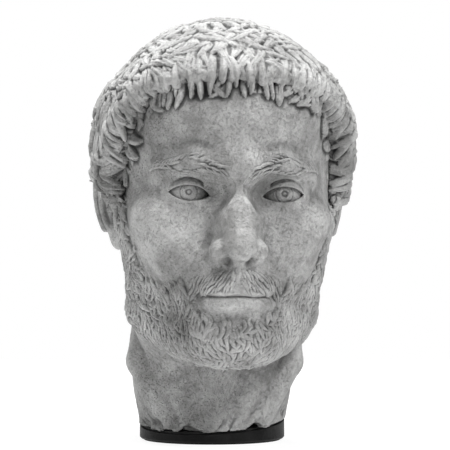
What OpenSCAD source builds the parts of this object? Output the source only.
// Carved marble portrait head on a round black mount, in millimetres.
// Z is up, the head faces -Y, and the origin is the middle of the mount's underside, on the axis of the pin.

/* [Head] */
// Height of the bare head from the chin to the crown
head_h = 235; // [190:1:290]
// Breadth of the bare skull
skull_w = 156; // [125:1:185]
// Length of the bare skull from the forehead to the back
skull_l = 194; // [160:1:235]
// Depth of the carved hair at the sides of the skull
hair_t = 18; // [8:0.5:22]
// Depth of the carved beard over the jaw
beard_t = 5; // [2:0.5:9]
// Turn of the face towards +X, in degrees
head_turn = 7; // [-20:0.5:20]
// Lean of the crown towards +X, in degrees
head_lean = 2; // [-6:0.5:6]

/* [Neck] */
// Height of the chin above the broken edge of the neck
neck_rise = 48; // [30:1:90]
// Diameter of the neck at its broken edge
neck_d = 107; // [95:1:130]
// How much wider the neck is above its broken edge
neck_swell = 18; // [8:1:30]
// Rise of the broken edge per millimetre towards +X
break_slope_x = 0.04; // [0:0.005:0.06]
// Rise of the broken edge per millimetre towards +Y
break_slope_y = 0.1; // [0:0.005:0.12]

/* [Mount] */
// Diameter of the mount block
base_d = 106; // [90:1:130]
// Thickness of the mount block on the axis of the pin
base_h = 11.7; // [11.6:0.1:30]
// Chamfer round the lower edge of the mount block
base_chamfer = 1.2; // [0.5:0.1:2]
// Thickness of the bedding pad between the mount and the neck
pad_t = 1.5; // [1:0.1:4]
// How far the pad stays inside the edge of the mount block
pad_inset = 2.5; // [1:0.5:6]
// Thickness of the felt under the mount
felt_t = 1; // [0.8:0.1:3]
// How far the felt stays inside the edge of the mount block
felt_inset = 3; // [1:0.5:8]

/* [Pin] */
// Diameter of the mounting pin
pin_d = 16; // [12:0.5:20]
// Length of the pin above its collar
pin_len = 86; // [50:1:110]
// Diameter of the pin's threaded end
thread_d = 10; // [8:1:12]
// Diameter of the pin's collar
collar_d = 26; // [24:0.5:32]
// Thickness of the pin's collar
collar_t = 3; // [2:0.5:5]
// Thickness of the washer under the block
washer_t = 1.5; // [1:0.1:2.5]
// Outer diameter of the washer
washer_d = 20; // [19:0.5:24]
// Thickness of the thin nut
nut_t = 5; // [4:0.5:6]
// Width of the nut across its flats
nut_af = 16; // [13:0.5:18]

/* [Sleeves] */
// Wall of the steel sleeve in the neck
sleeve_wall = 2; // [1.5:0.25:3]
// Thickness of the resin that sets the sleeve in the neck
resin_t = 3; // [2:0.5:4]
// Diameter of the locating dowel
dowel_d = 8; // [5:0.5:10]
// Length of the locating dowel above the mount block
dowel_rise = 28; // [15:1:45]
// Distance of the locating dowel behind the pin
dowel_offset = 30; // [26:1:38]
// Wall of the dowel's brass sleeve
dowel_wall = 2; // [1:0.25:3]
// Radial running clearance of the pin and the dowel in their sleeves
running_gap = 0.06; // [0.02:0.01:0.1]

/* [Hidden] */
$fn = 96;

seat_gap = 0.1;       // air between the pad and the stone
collar_gap = 2;       // space round and over the collar
thread_gap = 0.2;     // radial space round the thread in the block
recess_gap = 2;       // radial space round the washer in its recess
dowel_hold = 8;       // how deep the dowel is pressed into the block
pin_tip = 2;          // chamfer on the pin's tip
end_gap = 2;          // air over the pin and the dowel in their sleeves
end_wall = 3;         // closed end of the pin's sleeve
sleeve_setback = 2;   // how far the dowel's sleeve starts inside the stone
through = 1;          // how far a cut runs past a face
far = 400;            // larger than anything here

block_z = felt_t;                                    // underside of the mount block
block_top = block_z + base_h;                        // its top, on the axis
seat_z = block_top + pad_t + seat_gap;               // the stone's broken edge, on the axis
break_slope = norm([break_slope_x, break_slope_y]);
collar_r = collar_d / 2;
relief_r = collar_r + collar_gap;
collar_z = block_top - break_slope * relief_r - 0.1; // the collar's level seat in the block
recess_z = block_z + nut_t + washer_t;               // roof of the nut's recess
relief_z = max(collar_z + collar_t, seat_z + break_slope * relief_r) + collar_gap;
pin_top = collar_z + collar_t + pin_len;
sleeve_r = pin_d / 2 + running_gap + sleeve_wall;
sleeve_top = pin_top + end_gap + end_wall;
resin_r = sleeve_r + resin_t;
dowel_base = block_top + break_slope_y * dowel_offset - dowel_hold;
dowel_top = dowel_base + dowel_hold + dowel_rise;
dowel_sleeve_r = dowel_d / 2 + running_gap + dowel_wall;
dowel_sleeve_z = seat_z + break_slope_y * dowel_offset + sleeve_setback;
dowel_sleeve_top = dowel_top + end_gap;
recess_r = washer_d / 2 + recess_gap;

stone = [0.66, 0.66, 0.65];
black = [0.09, 0.09, 0.09];
steel = [0.62, 0.63, 0.65];

// ---- The head as a field: negative inside the stone, zero on its surface ----

// The field is written for a bare head of this breadth, length and height, with the chin at z = 0
// and the ears near y = 0.
DRAWN = [152, 194, 235];
canon = [skull_w / DRAWN.x, skull_l / DRAWN.y, head_h / DRAWN.z];
chin_z = seat_z + neck_rise;
turn_point = [0, 18, 40];                            // the point of that head about which it turns
turn_place = [4, 0, chin_z + turn_point.z * canon.z];
eye = [32, -67.5, 117];
eye_r = 15;
ear = [76, 10, 110];

function blend(a, b, k) = let (h = max(k - abs(a - b), 0) / k) min(a, b) - h * h * k / 4;
function carve(a, b, k) = -blend(-a, b, k);
function step_up(x, low, high) = let (t = min(max((x - low) / (high - low), 0), 1)) t * t * (3 - 2 * t);
function egg(p, c, r) =
    let (
        q = [(p.x - c.x) / r.x, (p.y - c.y) / r.y, (p.z - c.z) / r.z],
        k = norm(q)
    )
    k * (k - 1) / max(norm([q.x / r.x, q.y / r.y, q.z / r.z]), 0.000001);
function rod(p, a, b, ra, rb) =
    let (
        ab = b - a,
        t = min(max((p - a) * ab / (ab * ab), 0), 1)
    )
    norm(p - a - t * ab) - ra - (rb - ra) * t;
function turned(v, a) = [v.x * cos(a) + v.y * sin(a), v.y * cos(a) - v.x * sin(a), v.z];
function leant(v, a) = [v.x * cos(a) - v.z * sin(a), v.y, v.z * cos(a) + v.x * sin(a)];

// A point of the part's frame in the frame of the bare head, folded onto its +X half.
function folded(w) =
    let (v = leant(turned(w - turn_place, head_turn), head_lean))
    [abs(v.x / canon.x + turn_point.x), v.y / canon.y + turn_point.y, v.z / canon.z + turn_point.z];

function skull(q) =
    blend(blend(blend(blend(
        egg(q, [0, 6, 150], [76, 97, 85]),
        egg(q, [14, -56, 178], [40, 32, 32]), 25),
        egg(q, [0, -20, 92], [60, 70, 74]), 26),
        egg(q, [0, -8, 96], [68, 60, 62]), 20),
        egg(q, [0, -36, 22], [40, 42, 23]), 20);
function jaw(q, d) =
    blend(blend(blend(d,
        egg(q, [45, -10, 50], [15, 26, 36]), 22),
        rod(q, [48, -8, 30], [14, -74, 16], 12, 14), 20),
        egg(q, [0, -80, 16], [22, 17, 16]), 14);
function cheeks(q, d) =
    blend(blend(blend(d,
        egg(q, [47, -56, 99], [20, 20, 13]), 22),
        egg(q, [30, -62, 76], [24, 24, 26]), 20),
        egg(q, [0, -78, 52], [31, 26, 27]), 16);
function brows(q, d) =
    blend(blend(blend(d,
        rod(q, [9, -88, 132], [28, -84, 138], 6, 6.5), 12),
        rod(q, [28, -84, 138], [48, -66, 131], 6.5, 6), 12),
        egg(q, [0, -87, 138], [14, 9, 10]), 14);
function nose(q, d) =
    let (
        bridge = blend(rod(q, [0, -84.5, 124], [0, -108, 88], 6.5, 8), egg(q, [0, -90, 93], [15, 18, 22]), 9),
        tip = blend(bridge, egg(q, [0, -110.5, 81], [9.5, 10.5, 8.5]), 7),
        wings = blend(tip, egg(q, [11.5, -99, 78], [7, 11, 8]), 5)
    )
    blend(d, wings, 7);
function eyes(q, d) =
    blend(
        carve(d, egg(q, [30, -99, 119], [21, 19, 11]), 12),
        max(norm(q - eye) - eye_r - 1.5, abs(q.z - eye.z) - 11), 4);
function lips(q, d) =
    carve(blend(d, egg(q, [0, -94, 46], [21, 13, 9]), 8), egg(q, [0, -105, 29], [20, 8, 5]), 8);

// Height of the hair's lower edge and of the beard's upper edge at a bearing from the front, in degrees.
HAIR_EDGE = [[0, 190], [22, 187], [42, 176], [56, 158], [66, 134], [74, 108], [84, 96], [100, 92], [114, 80],
    [130, 62], [150, 48], [180, 42]];
BEARD_EDGE = [[0, 28], [10, 32], [18, 50], [24, 60], [45, 68], [62, 82], [74, 96], [88, 92], [96, 60],
    [112, 20], [180, 0]];
CROWN_HAIR = 0.72; // depth of the hair on the crown, as a share of its depth at the sides
// The hair thins out round the ear.
function round_ear(q) =
    let (v = q - ear)
    0.25 + 0.75 * step_up(norm([v.y / 26, (v.z + 4) / 36]), 0.5, 1.6);
function hair(q) =
    hair_t * (1 - (1 - CROWN_HAIR) * step_up(q.z, 165, 235))
    * step_up(q.z - lookup(atan2(q.x, -q.y), HAIR_EDGE), -10, 14)
    * round_ear(q);
function beard(q) =
    beard_t * step_up(lookup(atan2(q.x, -q.y), BEARD_EDGE) - q.z, -6, 10)
    * step_up(q.z, -16, 2) * step_up(-q.y, 4, 26);
function ears(q, d) = blend(d, egg(turned(q - ear, -14), [0, 0, 0], [13, 17, 28]), 9);
// The pillar of the neck, which stands on the break and is not turned with the head.
function neck(w, d) =
    let (
        up = min(max((w.z - seat_z) / (neck_rise + 30), 0), 1),
        swell = neck_swell / 2 * pow(max(sin(180 * up), 0), 0.7),
        r = neck_d / 2 + swell,
        side = norm([w.x, w.y * r / (r - 0.9 * swell)]) - r
    )
    blend(d, max(side, w.z - chin_z - 72), 16);
function field(w) =
    let (
        q = folded(w),
        bare = lips(q, eyes(q, nose(q, brows(q, cheeks(q, jaw(q, skull(q)))))))
    )
    neck(w, ears(q, bare - hair(q) - beard(q)));

// Distance from the spine to the surface along a ray, by halving.
REACH = 160;
HALVINGS = 13;
function reach(from, ray, low = 12, high = REACH, n = HALVINGS) =
    n == 0 ? (low + high) / 2
    : let (mid = (low + high) / 2)
      field(from + mid * ray) < 0 ? reach(from, ray, mid, high, n - 1) : reach(from, ray, low, mid, n - 1);

// Rings of the head, from the broken edge to the crown. Each is the height of its middle on the spine, as a
// share of the neck or of the head, how far it dips at the front and how far it opens upwards, in degrees.
NECK_RINGS = [[0, atan(break_slope_y), 0], [0.5, 9, 0], [1, 16, 0], [1.45, 22, 0]];
HEAD_RINGS = [[0.15, 24, 0], [0.19, 22, 0], [0.24, 18, 0], [0.32, 10, 0], [0.4, 4, 0], [0.47, 1, 0], [0.54, 0, 0],
    [0.6, 0, 5], [0.62, 0, 15], [0.62, 0, 30], [0.62, 0, 48], [0.62, 0, 66], [0.62, 0, 84]];
RINGS = 70;
POINTS = 64;
ring_keys = concat(
    [for (k = NECK_RINGS) [seat_z + k[0] * neck_rise, k[1], k[2]]],
    [for (k = HEAD_RINGS) [chin_z + max(k[0] * head_h, 0.45 * neck_rise + 2), k[1], k[2]]]);
function ring_at(s) =
    let (
        last = len(ring_keys) - 1,
        i = min(floor(s * last), last - 1),
        t = s * last - i
    )
    ring_keys[i] * (1 - t) + ring_keys[i + 1] * t;
// The spine leans from the pin's axis to the middle of the skull.
function spine(z) =
    let (t = step_up(z, seat_z, chin_z + 0.6 * head_h))
    [8 * t, -6 * t, z];
function ring_ray(lean, dip, rise, bearing) =
    let (c = cos(rise))
    [c * sin(bearing) * cos(lean), -c * cos(bearing) * cos(dip),
        c * (sin(bearing) * sin(lean) - cos(bearing) * sin(dip)) + sin(rise)];
// Bearings lie closer together over the face than over the back.
function bearing_at(j) = let (b = 360 * j / POINTS) b - 12 * sin(b);

module head_stone() {
    walls = [for (i = [0:RINGS - 1])
        let (
            s = i / (RINGS - 1),
            ring = ring_at(s),
            from = spine(ring[0]),
            lean = atan(break_slope_x) * (1 - s) + head_lean * s
        )
        for (j = [0:POINTS - 1])
            let (ray = ring_ray(lean, ring[1], ring[2], bearing_at(j)))
            from + reach(from, ray) * ray];
    crown_from = spine(ring_at(1)[0]);
    crown = crown_from + [0, 0, reach(crown_from, [0, 0, 1])];
    last = (RINGS - 1) * POINTS;
    sides = [for (i = [0:RINGS - 2], j = [0:POINTS - 1])
        [i * POINTS + j, i * POINTS + (j + 1) % POINTS, (i + 1) * POINTS + j, (i + 1) * POINTS + (j + 1) % POINTS]];
    polyhedron(
        points = concat(walls, [crown]),
        faces = concat(
            [[for (j = [0:POINTS - 1]) j]],
            [for (q = sides) [q[1], q[0], q[2]]],
            [for (q = sides) [q[1], q[2], q[3]]],
            [for (j = [0:POINTS - 1]) [last + (j + 1) % POINTS, last + j, len(walls)]]),
        convexity = 6);
}

module rod_up(r, low, high) {
    translate([0, 0, low]) cylinder(r = r, h = high - low);
}

// Tilts what it is given to the slope of the broken edge, about height z on the axis.
module on_slope(z) {
    translate([0, 0, z])
        rotate(a = atan(break_slope), v = [break_slope_y, -break_slope_x, 0])
        children();
}

module above_slope(z) {
    on_slope(z) translate([-far / 2, -far / 2, 0]) cube(far);
}

module below_slope(z) {
    on_slope(z) translate([-far / 2, -far / 2, -far]) cube(far);
}

module at_dowel() {
    translate([0, dowel_offset, 0]) children();
}

module marble_head() {
    color(stone) difference() {
        head_stone();
        rod_up(relief_r, 0, relief_z);
        rod_up(resin_r, 0, sleeve_top + resin_t);
        at_dowel() rod_up(dowel_sleeve_r, 0, dowel_sleeve_top);
    }
}

module sleeve_resin() {
    color([0.78, 0.74, 0.62]) difference() {
        rod_up(resin_r, relief_z, sleeve_top + resin_t);
        rod_up(sleeve_r, relief_z - through, sleeve_top);
    }
}

module pin_sleeve() {
    color(steel) difference() {
        rod_up(sleeve_r, relief_z, sleeve_top);
        rod_up(pin_d / 2 + running_gap, relief_z - through, pin_top + end_gap);
    }
}

module dowel_sleeve() {
    color([0.72, 0.58, 0.32]) at_dowel() difference() {
        rod_up(dowel_sleeve_r, dowel_sleeve_z, dowel_sleeve_top);
        rod_up(dowel_d / 2 + running_gap, dowel_sleeve_z - through, dowel_sleeve_top + through);
    }
}

module mounting_pin() {
    color(steel) rotate_extrude() polygon([
        [0, block_z], [thread_d / 2 - 0.5, block_z], [thread_d / 2, block_z + 0.5], [thread_d / 2, collar_z],
        [collar_r, collar_z], [collar_r, collar_z + collar_t - 0.5], [collar_r - 0.5, collar_z + collar_t],
        [pin_d / 2, collar_z + collar_t], [pin_d / 2, pin_top - pin_tip],
        [pin_d / 2 - pin_tip, pin_top], [0, pin_top]]);
}

module locating_dowel() {
    color(steel) at_dowel() rotate_extrude() polygon([
        [0, dowel_base], [dowel_d / 2, dowel_base], [dowel_d / 2, dowel_top - 1],
        [dowel_d / 2 - 1, dowel_top], [0, dowel_top]]);
}

module mount_block() {
    color(black) difference() {
        rotate_extrude() polygon([
            [0, block_z], [base_d / 2 - base_chamfer, block_z], [base_d / 2, block_z + base_chamfer],
            [base_d / 2, block_z + 2 * base_h], [0, block_z + 2 * base_h]]);
        above_slope(block_top);
        rod_up(relief_r, collar_z, far);
        rod_up(thread_d / 2 + thread_gap, 0, far);
        rod_up(recess_r, 0, recess_z);
        at_dowel() rod_up(dowel_d / 2, dowel_base, far);
    }
}

module bedding_pad() {
    color([0.16, 0.16, 0.17]) difference() {
        rod_up(base_d / 2 - pad_inset, 0, block_z + 2 * base_h + pad_t);
        below_slope(block_top);
        above_slope(block_top + pad_t);
        rod_up(relief_r, 0, far);
        at_dowel() rod_up(dowel_d / 2 + 1, 0, far);
    }
}

module pin_washer() {
    color(steel) difference() {
        rod_up(washer_d / 2, recess_z - washer_t, recess_z);
        rod_up(thread_d / 2, 0, far);
    }
}

module thin_nut() {
    color(steel) difference() {
        translate([0, 0, block_z]) cylinder(d = nut_af / cos(30), h = nut_t, $fn = 6);
        rod_up(thread_d / 2, 0, far);
    }
}

module base_felt() {
    color([0.2, 0.22, 0.2]) rod_up(base_d / 2 - felt_inset, 0, felt_t);
}

marble_head();
sleeve_resin();
pin_sleeve();
dowel_sleeve();
mounting_pin();
locating_dowel();
mount_block();
bedding_pad();
pin_washer();
thin_nut();
base_felt();
